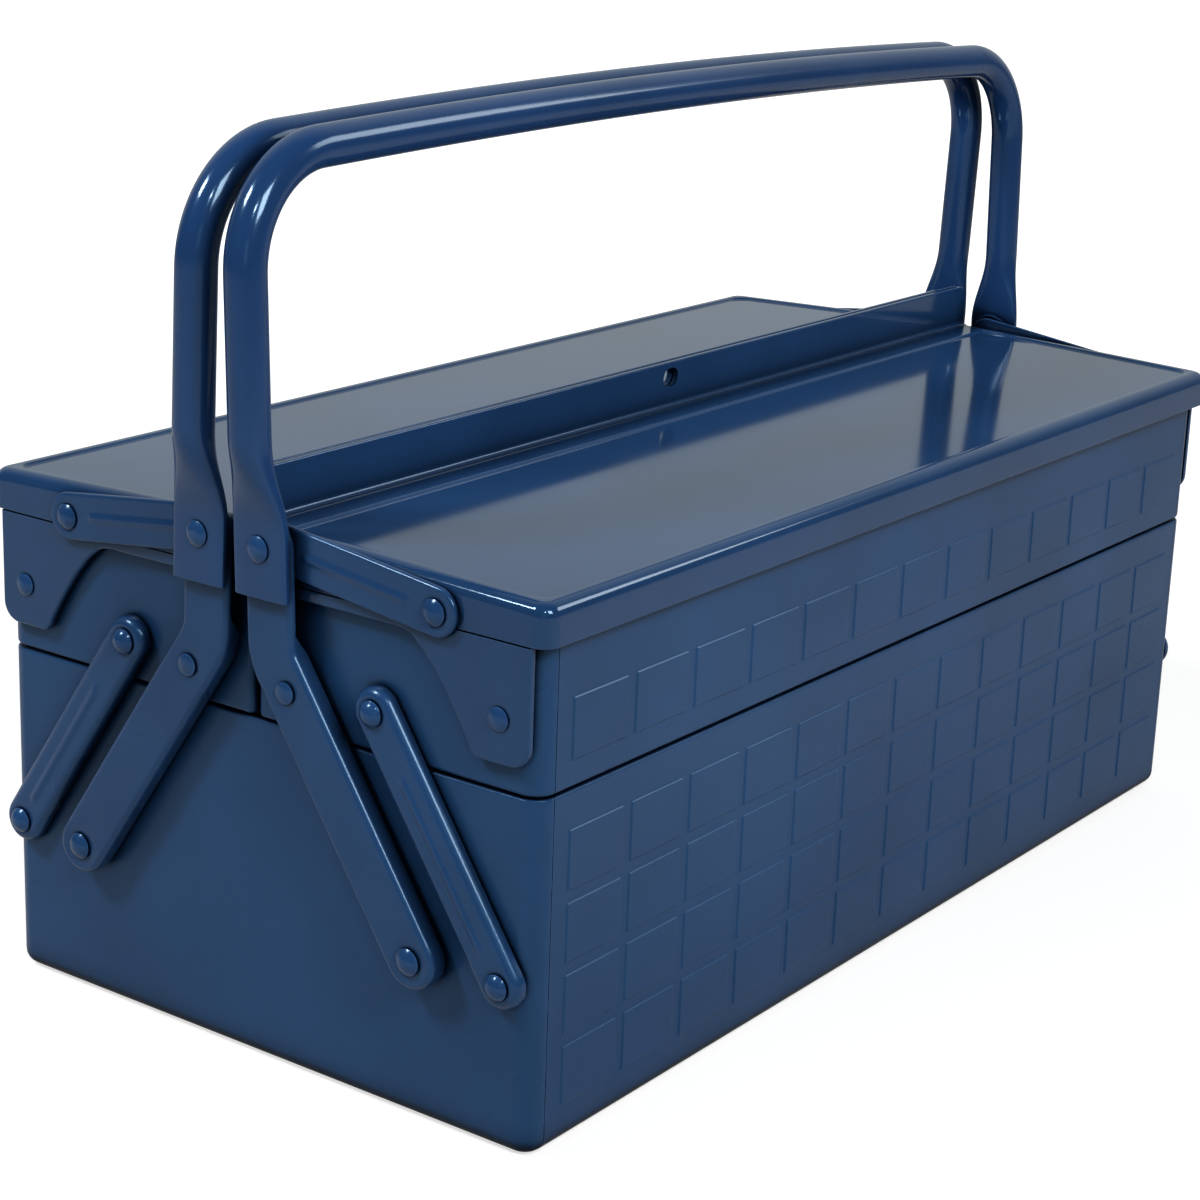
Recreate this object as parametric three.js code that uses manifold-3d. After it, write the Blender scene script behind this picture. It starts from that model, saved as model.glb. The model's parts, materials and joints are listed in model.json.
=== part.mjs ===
// Two-tier cantilever steel tool box: a deep base, two half-width trays that swing out to
// the front and the rear, a lid on each tray, and two tubular carrying handles whose long
// arms lift the trays. Millimetres, +Z up, X along the length, front towards -Y.
// Origin: centre of the underside of the base.
//
// Everything above the base exists twice. It is written once, as the front half, and the
// rear half is the same group turned half a turn about Z.
import * as THREE from 'three';
import { mergeVertices } from 'three/addons/utils/BufferGeometryUtils.js';
import Module from 'manifold-3d';

const wasm = await Module();
wasm.setup();

// ---- driving dimensions -------------------------------------------------------------
const HALF_LENGTH = 207;        // end wall of base and trays, from the centre
const HALF_DEPTH = 106.5;       // long wall of base and trays, from the centre
const SHEET = 1;                // sheet steel
const BASE_HEIGHT = 110;        // rim of the base box
const TRAY_FLOOR = 110.6;       // underside of the closed trays
const TRAY_TOP = 164;           // rim of the trays, hidden under the lids
const CORNER_RADIUS = 9;        // upright corners of base and trays
const BOTTOM_RADIUS = 5;        // bottom edges of the base
const TRAY_EDGE_RADIUS = 2;     // bottom edges of a tray
const INNER_RADIUS = 2.5;       // upright corners of a tray at the centre of the box
const CENTRE_GAP = 0.8;         // from the centre plane to the inner wall of a tray
const SEAM_FROM_CENTRE = 198;   // where an end panel meets the long walls
const SEAM = 0.3;               // gap of a sheet seam
const LAP = 8;                  // how far an end panel reaches behind the long walls
const HEM_HEIGHT = 7;           // folded edge round the rims
const HEM_THICKNESS = 2.2;

const LID_OVERHANG = 3.5;       // lid rim beyond the walls
const LID_TOP = 168;            // top of the lid at its outer edge
const LID_RISE = 3.5;           // how much higher the lid is at the centre
const LID_BOTTOM = 155.5;       // lower edge of the lid rim
const LID_CORNER = 6;
const LID_EDGE_RADIUS = 4;
const LID_GAP = 0.4;            // from the centre plane to the lid
const PANEL_DROP = 0.8;         // sunk panel in the lid
const PANEL_BORDER = 6;         // border round the sunk panel
const PANEL_LEDGE = 14;         // wider border beside the ridge
const RIDGE_TOP = 187;          // upstand along the centre edge of a lid
const RIDGE_THICKNESS = 2;
const RIDGE_HALF_LENGTH = 208.5;
const LOCK_HOLE_Z = 181.5;      // padlock slot through both upstands
const LOCK_HOLE_WIDTH = 10;
const LOCK_HOLE_HEIGHT = 6.6;

// pivots of the front half, as [y, z]
const ARM_BASE = [-67, 54];
const LINK_BASE = [-97, 54];
const SWING = [47.5, 70.5];     // from a base pivot to its tray pivot: a parallelogram
const ARM_TRAY = [ARM_BASE[0] + SWING[0], ARM_BASE[1] + SWING[1]];
const LINK_TRAY = [LINK_BASE[0] + SWING[0], LINK_BASE[1] + SWING[1]];
const ARM_BEND = [-13, 134];
const HANDLE_PIVOT = [-12, 167];
const LID_LINK_PIVOT = [-72.3, 159.5];
const LID_HINGE = [-94, 133];
const LID_SLOT_END = [LID_LINK_PIVOT[0] - 3.2, LID_LINK_PIVOT[1] + 1];
const LID_SLOT_RADIUS = 3.1;    // the lid link's rivet slides in this slot part-way through

// layers on an end wall, as distances outwards from it
const EAR_LAYER = [1.3, 2.3];       // lid end plate
const LID_LINK_LAYER = [4.1, 5.9];
const SHORT_LINK_LAYER = [0.9, 5.3];
const ARM_LAYER = [6.3, 8.3];
const ARM_FLANGE_FROM = 2.2;        // folded edges of a long arm reach in to here
const ARM_FLANGE_TOP = 143;         // and stop below the lid link
const FLAT_LAYER = [8.7, 11.7];     // flattened end of a handle tube
const LINK_SHEET = 1.6;

const ARM_HALF_WIDTH = 9;
const LINK_HALF_WIDTH = 7.5;
const RIVET_SHANK = 2.2;
const RIVET_HOLE = 2.5;
const FIT = 0.3;                    // clearance between stacked pieces

const TUBE_RADIUS = 6.2;
const TUBE_WALL = 1.2;
const TUBE_OUT = 14;                // centre of a handle leg, out from the end wall
const HANDLE_TOP = 288;             // top of the grip
const HANDLE_BEND = 33;             // centreline radius of the handle's corners
const GRIP_BOW = 3.2;               // how much lower the grip is beside its corners
const HANDLE_LEAN = 0.033;          // the handles lean towards each other
const FLAT_BOTTOM = 152;
const FLAT_TOP = 178;
const NECK_TOP = 200;
const FLAT_HALF_WIDTH = 10;
const FLAT_SLIT = 0.5;              // what is left of the bore in the flattened end

const TILE_COLUMNS = 13;
const TILE_PITCH = 30;
const TILE_WIDTH = 26.6;
const TILE_HEIGHT = 19.2;
const TILE_DEPTH = 0.7;
const TILE_TAPER = 0.95;
const BASE_TILE_TOPS = [98.5, 76.2, 53.9, 31.6];
const TRAY_TILE_TOPS = [138];

const CORNER_ARC = 2;             // pairs of flats in a rounded corner
const BAR_ARC = 4;                // pairs of flats in the round end of a bar
const TUBE_SEGMENTS = 14;
const BORE_SEGMENTS = 8;
const RIVET_SEGMENTS = 8;

// ---- materials ----------------------------------------------------------------------
const enamel = (color, roughness = 0.32) =>
  new THREE.MeshStandardMaterial({ color, roughness, metalness: 0.25 });
const bodyBlue = () => enamel(0x1f3a68);
const lidBlue = () => enamel(0x23406e, 0.22);
const linkBlue = () => enamel(0x21406f, 0.36);
const tubeBlue = () => enamel(0x1c3560, 0.2);
const rivetBlue = () => enamel(0x2a4b7c, 0.3);

// ---- solids -------------------------------------------------------------------------
function toSolid(geometry) {
  geometry.deleteAttribute('normal');
  geometry.deleteAttribute('uv');
  const merged = mergeVertices(geometry, 1e-4);
  return new wasm.Manifold(new wasm.Mesh({
    numProp: 3,
    vertProperties: new Float32Array(merged.attributes.position.array),
    triVerts: new Uint32Array(merged.index.array),
  }));
}

function toMesh(name, solid, material, warp) {
  const result = solid.getMesh();
  const positions = new Float32Array(result.vertProperties);
  if (warp) warp(positions);
  const geometry = new THREE.BufferGeometry();
  geometry.setAttribute('position', new THREE.BufferAttribute(positions, 3));
  geometry.setIndex(new THREE.BufferAttribute(new Uint32Array(result.triVerts), 1));
  geometry.computeVertexNormals();
  const mesh = new THREE.Mesh(geometry, material);
  mesh.name = name;
  return mesh;
}

// Extrudes an outline along an axis. The outline is drawn in (y, z) for axis x, in
// (x, z) for axis y and in (x, y) for axis z.
function extrudeAlong(axis, shape, from, to, curveSegments = CORNER_ARC) {
  const low = Math.min(from, to);
  const depth = Math.abs(to - from);
  const options = { depth, bevelEnabled: false, curveSegments };
  const geometry = new THREE.ExtrudeGeometry(shape, options);
  const place = new THREE.Matrix4();
  const [x, y, z] = [0, 1, 2].map((i) => new THREE.Vector3().setComponent(i, 1));
  if (axis === 'x') place.makeBasis(y, z, x).setPosition(low, 0, 0);
  if (axis === 'y') place.makeBasis(x, z, y.clone().negate()).setPosition(0, low + depth, 0);
  if (axis === 'z') place.makeBasis(x, y, z).setPosition(0, 0, low);
  geometry.applyMatrix4(place);
  return toSolid(geometry);
}

function block(x0, x1, y0, y1, z0, z1) {
  const geometry = new THREE.BoxGeometry(x1 - x0, y1 - y0, z1 - z0);
  geometry.translate((x0 + x1) / 2, (y0 + y1) / 2, (z0 + z1) / 2);
  return toSolid(geometry);
}

// A rectangle with its own radius at each corner: low-low, high-low, high-high, low-high.
function roundedRectangle(x0, x1, y0, y1, radii) {
  const [a, b, c, d] = radii.map((radius) => Math.max(radius, 0));
  const shape = new THREE.Shape();
  const corner = (x, y, radius, start) => {
    if (radius > 0) shape.absarc(x, y, radius, start, start + Math.PI / 2, false);
    else shape.lineTo(x, y);
  };
  shape.moveTo(x0 + a, y0);
  shape.lineTo(x1 - b, y0);
  corner(x1 - b, y0 + b, b, -Math.PI / 2);
  shape.lineTo(x1, y1 - c);
  corner(x1 - c, y1 - c, c, 0);
  shape.lineTo(x0 + d, y1);
  corner(x0 + d, y1 - d, d, Math.PI / 2);
  shape.lineTo(x0, y0 + a);
  corner(x0 + a, y0 + a, a, Math.PI);
  return shape;
}

function union(solids) {
  return solids.reduce((total, solid) => total.add(solid));
}

// ---- folded sheet tubs: the base and the trays ----------------------------------------
// The outside of a tub, shrunk by inset. It is open upwards, so it reaches past its rim.
function tubForm(tub, inset) {
  const { y0, y1, floor, top, outer, inner, edge } = tub;
  const x = HALF_LENGTH - inset;
  const [low, high] = [y0 + inset, y1 - inset];
  const [z0, z1] = [floor + inset, top + 1];
  const shrink = (radius) => radius - inset;
  const bottom = [shrink(edge), shrink(edge), 0, 0];
  const corners = [outer, outer, inner, inner].map(shrink);
  return extrudeAlong('z', roundedRectangle(-x, x, low, high, corners), z0, z1)
    .intersect(extrudeAlong('x', roundedRectangle(low, high, z0, z1, bottom), -x, x))
    .intersect(extrudeAlong('y', roundedRectangle(-x, x, z0, z1, bottom), low, high));
}

// Sheet walls and floor with a folded hem round the rim.
function tubSheet(tub) {
  const walls = tubForm(tub, 0).subtract(tubForm(tub, SHEET));
  const hem = tubForm(tub, SHEET / 2).subtract(tubForm(tub, HEM_THICKNESS));
  const far = HALF_LENGTH + 1;
  const above = block(-far, far, -far, far, tub.top - HEM_HEIGHT, tub.top + 2);
  const cutoff = block(-far, far, -far, far, tub.top, tub.top + 2);
  return walls.add(hem.intersect(above)).subtract(cutoff);
}

// The long walls and the floor, one folded sheet, between the two end panels.
function tubShell(tub) {
  const far = HALF_LENGTH + 1;
  return tubSheet(tub).intersect(
    block(-SEAM_FROM_CENTRE, SEAM_FROM_CENTRE, -far, far, -1, tub.top));
}

// An end panel wraps round the corners and laps behind the long walls and the floor.
function tubEnd(tub, side) {
  const far = HALF_LENGTH + 1;
  const seam = SEAM_FROM_CENTRE + SEAM;
  const between = (a, b, z1) =>
    block(Math.min(side * a, side * b), Math.max(side * a, side * b), -far, far, -1, z1);
  const panel = tubSheet(tub).intersect(between(seam, far, tub.top));
  const behind = HEM_THICKNESS + SEAM;
  const lapTop = tub.top - HEM_HEIGHT - SEAM;
  const lap = tubForm(tub, SHEET + SEAM).subtract(tubForm(tub, behind))
    .intersect(between(SEAM_FROM_CENTRE - LAP, seam + 2, lapTop));
  const joggle = tubForm(tub, SHEET / 2).subtract(tubForm(tub, behind))
    .intersect(between(seam, seam + 2, lapTop));
  return panel.add(lap).add(joggle);
}

// Raised rectangles pressed into a long wall at y, facing away from the centre.
function addTiles(solid, y, tops) {
  const out = Math.sign(y);
  const half = Math.SQRT1_2;
  const tiles = [];
  for (const top of tops) {
    for (let column = 0; column < TILE_COLUMNS; column += 1) {
      const tile = new THREE.CylinderGeometry(half * TILE_TAPER, half, 1, 4, 1);
      tile.rotateY(Math.PI / 4);
      tile.scale(TILE_WIDTH, TILE_DEPTH + SHEET / 2, TILE_HEIGHT);
      if (out < 0) tile.rotateX(Math.PI);
      const x = (column - (TILE_COLUMNS - 1) / 2) * TILE_PITCH;
      const middle = y + out * (TILE_DEPTH - SHEET / 2) / 2;
      tile.translate(x, middle, top - TILE_HEIGHT / 2);
      tiles.push(toSolid(tile));
    }
  }
  return solid.add(union(tiles));
}

const baseTub = {
  y0: -HALF_DEPTH, y1: HALF_DEPTH, floor: 0, top: BASE_HEIGHT,
  outer: CORNER_RADIUS, inner: CORNER_RADIUS, edge: BOTTOM_RADIUS,
};
const trayTub = {
  y0: -HALF_DEPTH, y1: -CENTRE_GAP, floor: TRAY_FLOOR, top: TRAY_TOP,
  outer: CORNER_RADIUS, inner: INNER_RADIUS, edge: TRAY_EDGE_RADIUS,
};

// ---- flat pieces on the end walls -------------------------------------------------------
// A piece of the outline, in (y, z), between two distances out from an end wall.
function plate(side, outline, [from, to]) {
  const [a, b] = [from, to].map((distance) => side * (HALF_LENGTH + distance));
  return extrudeAlong('x', outline, a, b, BAR_ARC);
}

// A straight bar with round ends from one pivot to another.
function barOutline([ya, za], [yb, zb], radius) {
  const along = Math.atan2(zb - za, yb - ya);
  const shape = new THREE.Shape();
  shape.absarc(yb, zb, radius, along - Math.PI / 2, along + Math.PI / 2, false);
  shape.absarc(ya, za, radius, along + Math.PI / 2, along + Math.PI * 1.5, false);
  return shape;
}

function bar(side, points, radius, layer) {
  const pieces = points.slice(1).map((point, i) =>
    plate(side, barOutline(points[i], point, radius), layer));
  return union(pieces);
}

function bore(side, [y, z], radius, [from, to]) {
  const hole = new THREE.CylinderGeometry(radius, radius, to - from, RIVET_SEGMENTS);
  hole.rotateZ(Math.PI / 2);
  hole.translate(side * (HALF_LENGTH + (from + to) / 2), y, z);
  return toSolid(hole);
}

// A long arm: pressed sheet with folded edges, bent so that its top stands upright
// behind the handle's flattened end.
function longArm(side) {
  const line = [ARM_BASE, ARM_BEND, HANDLE_PIVOT];
  const [inner, outer] = ARM_LAYER;
  const body = bar(side, line, ARM_HALF_WIDTH, [ARM_FLANGE_FROM, outer]);
  const hollow = bar(side, line, ARM_HALF_WIDTH - LINK_SHEET, [ARM_FLANGE_FROM - 1, inner]);
  const overLid = plate(side,
    roundedRectangle(-HALF_DEPTH, 0, ARM_FLANGE_TOP, LID_TOP * 2, [0, 0, 0, 0]),
    [ARM_FLANGE_FROM - 1, inner]);
  const through = [ARM_FLANGE_FROM - 1, outer + 1];
  const holes = [ARM_BASE, ARM_TRAY, HANDLE_PIVOT]
    .map((pivot) => bore(side, pivot, RIVET_HOLE, through));
  return body.subtract(hollow).subtract(overLid).subtract(union(holes));
}

// A short link: a pressed channel parallel to the lower part of the long arm.
function shortLink(side) {
  const line = [LINK_BASE, LINK_TRAY];
  const [inner, outer] = SHORT_LINK_LAYER;
  const body = bar(side, line, LINK_HALF_WIDTH, SHORT_LINK_LAYER);
  const hollow = bar(side, line, LINK_HALF_WIDTH - LINK_SHEET,
    [inner - 1, outer - LINK_SHEET]);
  const holes = line.map((pivot) => bore(side, pivot, RIVET_HOLE, [inner, outer + 1]));
  return body.subtract(hollow).subtract(union(holes));
}

// A lid link: a flat bar from the handle to the lid.
function lidLink(side) {
  const [inner, outer] = LID_LINK_LAYER;
  const through = [inner - 1, outer + 1];
  return bar(side, [HANDLE_PIVOT, LID_LINK_PIVOT], LINK_HALF_WIDTH, LID_LINK_LAYER)
    .subtract(bore(side, HANDLE_PIVOT, RIVET_HOLE, through))
    .subtract(bore(side, HANDLE_PIVOT, RIVET_SHANK + 1.3, [inner - 1, inner + 1]))
    .subtract(bore(side, LID_LINK_PIVOT, RIVET_HOLE, through));
}

// The slot in a lid's rim and end plate for the rivet of the lid link.
function lidSlot(side, layer) {
  return plate(side, barOutline(LID_LINK_PIVOT, LID_SLOT_END, LID_SLOT_RADIUS), layer);
}

// The plate under a lid's end: a strip behind the rim that widens into the hinge ear. The
// ear is pressed out below the rim, until it is flush with it.
function endPlate(side) {
  const [earIn, earOut] = [-84, -104.5];
  const [low, stripLow, high] = [119.5, 151.5, 164.5];
  const radius = 5;
  const shape = new THREE.Shape();
  shape.moveTo(-2.5, stripLow);
  shape.lineTo(-2.5, high);
  shape.lineTo(earOut, high);
  shape.lineTo(earOut, low + radius);
  shape.absarc(earOut + radius, low + radius, radius, Math.PI, Math.PI * 1.5, false);
  shape.lineTo(earIn - 7, low);
  shape.quadraticCurveTo(earIn - 1, low + 0.5, earIn, low + 6);
  shape.quadraticCurveTo(-71, 144, -63, stripLow - 2);
  shape.quadraticCurveTo(-60.5, stripLow, -56, stripLow);
  const flush = [EAR_LAYER[0], LID_OVERHANG];
  const behindRim = plate(side,
    roundedRectangle(-HALF_DEPTH, 0, LID_BOTTOM - FIT, LID_TOP, [0, 0, 0, 0]), flush);
  const through = [EAR_LAYER[0] - 1, LID_OVERHANG + 1];
  return plate(side, shape, flush)
    .subtract(behindRim)
    .add(plate(side, shape, EAR_LAYER))
    .subtract(bore(side, LID_HINGE, RIVET_HOLE, through))
    .subtract(lidSlot(side, through));
}

// ---- rivets -----------------------------------------------------------------------------
// A rivet on an end wall, turned about the pivot. tail and head are where the two heads
// start and end; an optional shoulder keeps the stack off the wall.
function rivet(side, [y, z], { tail, head, shoulder, tailRadius = 3, headRadius = 4.4 }) {
  const dome = 2;
  const [headFrom, headTo] = head;
  const profile = [[0, tail[0]], [tailRadius, tail[0]], [tailRadius, tail[1]]];
  profile.push([RIVET_SHANK, tail[1]]);
  if (shoulder) {
    const [from, to] = shoulder;
    profile.push([RIVET_SHANK, from], [3.4, from], [3.4, to], [RIVET_SHANK, to]);
  }
  profile.push([RIVET_SHANK, headFrom]);
  for (let step = 0; step <= dome; step += 1) {
    const angle = (step / dome) * Math.PI / 2;
    const rise = (headTo - headFrom) * Math.sin(angle);
    profile.push([headRadius * Math.cos(angle), headFrom + rise]);
  }
  profile[profile.length - 1][0] = 0;
  const points = profile.map(([radius, height]) => new THREE.Vector2(radius, height));
  const geometry = new THREE.LatheGeometry(points, RIVET_SEGMENTS);
  geometry.rotateZ(-side * Math.PI / 2);
  geometry.translate(side * HALF_LENGTH, y, z);
  return toSolid(geometry);
}

const insideWall = [-SHEET - 1.8, -SHEET - 0.7];
const rivetKinds = {
  arm_base_rivet: [ARM_BASE, {
    tail: insideWall, head: [ARM_LAYER[1] + FIT, ARM_LAYER[1] + 1.9],
    shoulder: [FIT, ARM_LAYER[0] - FIT] }],
  arm_tray_rivet: [ARM_TRAY, {
    tail: insideWall, head: [ARM_LAYER[1] + FIT, ARM_LAYER[1] + 1.1],
    shoulder: [FIT, ARM_LAYER[0] - FIT], headRadius: 3.8 }],
  link_base_rivet: [LINK_BASE, {
    tail: insideWall, head: [SHORT_LINK_LAYER[1] + FIT, SHORT_LINK_LAYER[1] + 1.9],
    shoulder: [FIT, SHORT_LINK_LAYER[1] - LINK_SHEET - FIT] }],
  link_tray_rivet: [LINK_TRAY, {
    tail: insideWall, head: [SHORT_LINK_LAYER[1] + FIT, SHORT_LINK_LAYER[1] + 1.9],
    shoulder: [FIT, SHORT_LINK_LAYER[1] - LINK_SHEET - FIT] }],
  lid_hinge_rivet: [LID_HINGE, {
    tail: insideWall, head: [LID_OVERHANG + FIT, LID_OVERHANG + 1.6],
    shoulder: [FIT, EAR_LAYER[0] - FIT], headRadius: 4 }],
  handle_rivet: [HANDLE_PIVOT, {
    tail: [LID_LINK_LAYER[0] + 0.1, LID_LINK_LAYER[0] + 0.7],
    head: [FLAT_LAYER[1] + FIT, FLAT_LAYER[1] + 1.9] }],
  lid_link_rivet: [LID_LINK_PIVOT, {
    tail: [0.5, 1], head: [LID_LINK_LAYER[1] + FIT, LID_LINK_LAYER[1] + 2],
    tailRadius: 3.8 }],
};

// ---- tray, lid and handle of the front half ------------------------------------------------
function trayEnd(side) {
  const wall = [-HEM_THICKNESS - 1, 1];
  const holes = [ARM_TRAY, LINK_TRAY, LID_HINGE]
    .map((pivot) => bore(side, pivot, RIVET_HOLE, wall));
  return tubEnd(trayTub, side).subtract(union(holes));
}

function baseEnd(side) {
  const wall = [-HEM_THICKNESS - 1, 1];
  const turned = ([y, z]) => [-y, z];
  const holes = [ARM_BASE, LINK_BASE, turned(ARM_BASE), turned(LINK_BASE)]
    .map((pivot) => bore(side, pivot, RIVET_HOLE, wall));
  return tubEnd(baseTub, side).subtract(union(holes));
}

// The outside of a lid before its top is sloped, shrunk by inset.
function lidForm(inset) {
  const x = HALF_LENGTH + LID_OVERHANG - inset;
  const y0 = -HALF_DEPTH - LID_OVERHANG + inset;
  const y1 = inset > 0 ? 1 : -LID_GAP;
  const [z0, z1] = [inset > 0 ? LID_BOTTOM - 1 : LID_BOTTOM, LID_TOP - inset];
  const edge = LID_EDGE_RADIUS - inset;
  const corner = LID_CORNER - inset;
  return extrudeAlong('z', roundedRectangle(-x, x, y0, y1, [corner, corner, 0, 0]), z0, z1)
    .intersect(extrudeAlong('x', roundedRectangle(y0, y1, z0, z1, [0, 0, 0, edge]), -x, x))
    .intersect(extrudeAlong('y', roundedRectangle(-x, x, z0, z1, [0, 0, edge, edge]), y0, y1));
}

function sunkPanel(grow, z0, z1) {
  const x = HALF_LENGTH + LID_OVERHANG - PANEL_BORDER + grow;
  const y0 = -HALF_DEPTH - LID_OVERHANG + PANEL_BORDER - grow;
  const y1 = -PANEL_LEDGE + grow;
  return extrudeAlong('z', roundedRectangle(-x, x, y0, y1, [3, 3, 3, 3]), z0, z1);
}

function lid() {
  const under = lidForm(SHEET)
    .subtract(sunkPanel(SHEET / 2, LID_TOP - SHEET - PANEL_DROP, LID_TOP));
  const x = RIDGE_HALF_LENGTH;
  const ridge = extrudeAlong('y',
    roundedRectangle(-x, x, LID_TOP - SHEET, RIDGE_TOP - LID_RISE, [0, 0, 4, 4]),
    -LID_GAP - RIDGE_THICKNESS, -LID_GAP);
  const slot = (LOCK_HOLE_WIDTH - LOCK_HOLE_HEIGHT) / 2;
  const lockHole = extrudeAlong('y',
    barOutline([-slot, LOCK_HOLE_Z - LID_RISE], [slot, LOCK_HOLE_Z - LID_RISE],
      LOCK_HOLE_HEIGHT / 2), -RIDGE_THICKNESS * 2, 1);
  const rim = [EAR_LAYER[1], LID_OVERHANG + 1];
  const slots = [-1, 1].map((side) => lidSlot(side, rim));
  return lidForm(0)
    .subtract(sunkPanel(0, LID_TOP - PANEL_DROP, LID_TOP + 1))
    .subtract(under)
    .add(ridge)
    .subtract(lockHole)
    .subtract(union(slots));
}

// Slopes the top of a lid up towards the centre of the box; the rim stays level.
function slopeLid(positions) {
  const level = LID_TOP - LID_EDGE_RADIUS - FIT;
  const depth = HALF_DEPTH + LID_OVERHANG;
  for (let i = 0; i < positions.length; i += 3) {
    const [y, z] = [positions[i + 1], positions[i + 2]];
    if (z > level) positions[i + 2] = z + LID_RISE * (1 + y / depth);
  }
}

// One closed ring of the handle: an oval at a height on the leg, or a circle round the
// centreline. across is the half width along Y, thick the half thickness in the plane.
function handleRing(centre, outward, across, thick, count, leanFrom) {
  const ring = [];
  for (let i = 0; i < count; i += 1) {
    const angle = (i / count) * Math.PI * 2;
    const power = across > thick * 1.5 ? 0.45 : 1;
    const round = (value, k) => Math.sign(value) * Math.abs(value) ** k;
    const w = across * round(Math.cos(angle), 1);
    const t = thick * round(Math.sin(angle), power);
    const x = centre[0] + outward[0] * t;
    const z = centre[1] + outward[1] * t;
    ring.push([x, HANDLE_PIVOT[0] + w + HANDLE_LEAN * (z - leanFrom), z]);
  }
  return ring;
}

// A solid skinned over rings of equal count, with flat ends.
function skin(rings) {
  const count = rings[0].length;
  const positions = rings.flat(2);
  const last = (rings.length - 1) * count;
  const index = [];
  for (let r = 0; r < rings.length - 1; r += 1) {
    for (let i = 0; i < count; i += 1) {
      const [a, b] = [r * count + i, r * count + (i + 1) % count];
      index.push(a, b + count, b, a, a + count, b + count);
    }
  }
  for (let i = 1; i < count - 1; i += 1) {
    index.push(0, i, i + 1, last, last + i + 1, last + i);
  }
  const geometry = new THREE.BufferGeometry();
  geometry.setAttribute('position', new THREE.Float32BufferAttribute(positions, 3));
  geometry.setIndex(index);
  return toSolid(geometry);
}

// The rings of one handle, from one flattened end over the grip to the other.
function handleRings(inset, count, pastEnd) {
  const flatX = HALF_LENGTH + (FLAT_LAYER[0] + FLAT_LAYER[1]) / 2;
  const tubeX = HALF_LENGTH + TUBE_OUT;
  const gripZ = HANDLE_TOP - TUBE_RADIUS;
  const bendX = tubeX - HANDLE_BEND;
  const slope = Math.atan(2 * GRIP_BOW / bendX);
  const reach = bendX + HANDLE_BEND * Math.sin(slope);
  const bendZ = gripZ - GRIP_BOW - HANDLE_BEND * Math.cos(slope);
  const flatThick = (FLAT_LAYER[1] - FLAT_LAYER[0]) / 2;
  const thinnest = inset > 0 ? FLAT_SLIT / 2 : flatThick;
  const radius = TUBE_RADIUS - inset;
  const widest = FLAT_HALF_WIDTH - inset * 2;
  const necking = 4;
  const cornering = 5;
  const leg = [[flatX, FLAT_BOTTOM - pastEnd, widest, thinnest],
    [flatX, FLAT_TOP, widest - 0.8, thinnest]];
  for (let step = 1; step <= necking; step += 1) {
    const t = step / necking;
    const ease = t * t * (3 - 2 * t);
    leg.push([flatX + (tubeX - flatX) * ease, FLAT_TOP + (NECK_TOP - FLAT_TOP) * t,
      widest - 0.8 + (radius - widest + 0.8) * ease, thinnest + (radius - thinnest) * ease]);
  }
  const half = leg.map(([x, z, across, thick]) => ({ at: [x, z], out: [1, 0], across, thick }));
  for (let step = 0; step <= cornering; step += 1) {
    const angle = (step / cornering) * (Math.PI / 2 - slope);
    const out = [Math.cos(angle), Math.sin(angle)];
    const at = [bendX + HANDLE_BEND * out[0], bendZ + HANDLE_BEND * out[1]];
    half.push({ at, out, across: radius, thick: radius });
  }
  for (const part of [0.75, 0.5, 0.25]) {
    const tilt = Math.atan(2 * GRIP_BOW * part / reach);
    const at = [reach * part, gripZ - GRIP_BOW * part ** 2];
    const out = [Math.sin(tilt), Math.cos(tilt)];
    half.push({ at, out, across: radius, thick: radius });
  }
  const middle = { at: [0, gripZ], out: [0, 1], across: radius, thick: radius };
  const mirrored = half.slice().reverse().map(({ at, out, across, thick }) =>
    ({ at: [-at[0], at[1]], out: [-out[0], out[1]], across, thick }));
  return [...half, middle, ...mirrored].map(({ at, out, across, thick }) =>
    handleRing(at, out, across, thick, count, HANDLE_PIVOT[1]));
}

function handle() {
  const tube = skin(handleRings(0, TUBE_SEGMENTS, 0));
  const hollow = skin(handleRings(TUBE_WALL, BORE_SEGMENTS, 1));
  const through = [FLAT_LAYER[0] - 1, FLAT_LAYER[1] + 1];
  const holes = [-1, 1].map((side) => bore(side, HANDLE_PIVOT, RIVET_HOLE, through));
  return tube.subtract(hollow).subtract(union(holes));
}

// ---- assembly -----------------------------------------------------------------------------
// half is 'front' or 'rear'. The rear half is turned half a turn, which swaps the ends.
function makeHalf(half) {
  const group = new THREE.Group();
  if (half === 'rear') group.rotation.z = Math.PI;
  const end = (side) => ((side < 0) === (half === 'front') ? 'left' : 'right');
  const wall = addTiles(tubShell(trayTub), -HALF_DEPTH, TRAY_TILE_TOPS);
  group.add(toMesh(`${half}_tray`, wall, bodyBlue()));
  group.add(toMesh(`${half}_lid`, lid(), lidBlue(), slopeLid));
  group.add(toMesh(`${half}_handle`, handle(), tubeBlue()));
  for (const side of [-1, 1]) {
    const name = `${half}_${end(side)}`;
    group.add(toMesh(`${name}_tray_end`, trayEnd(side), bodyBlue()));
    group.add(toMesh(`${name}_lid_end_plate`, endPlate(side), lidBlue()));
    group.add(toMesh(`${name}_long_arm`, longArm(side), linkBlue()));
    group.add(toMesh(`${name}_short_link`, shortLink(side), linkBlue()));
    group.add(toMesh(`${name}_lid_link`, lidLink(side), linkBlue()));
    for (const [kind, [pivot, sizes]] of Object.entries(rivetKinds)) {
      group.add(toMesh(`${name}_${kind}`, rivet(side, pivot, sizes), rivetBlue()));
    }
  }
  return group;
}

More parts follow.
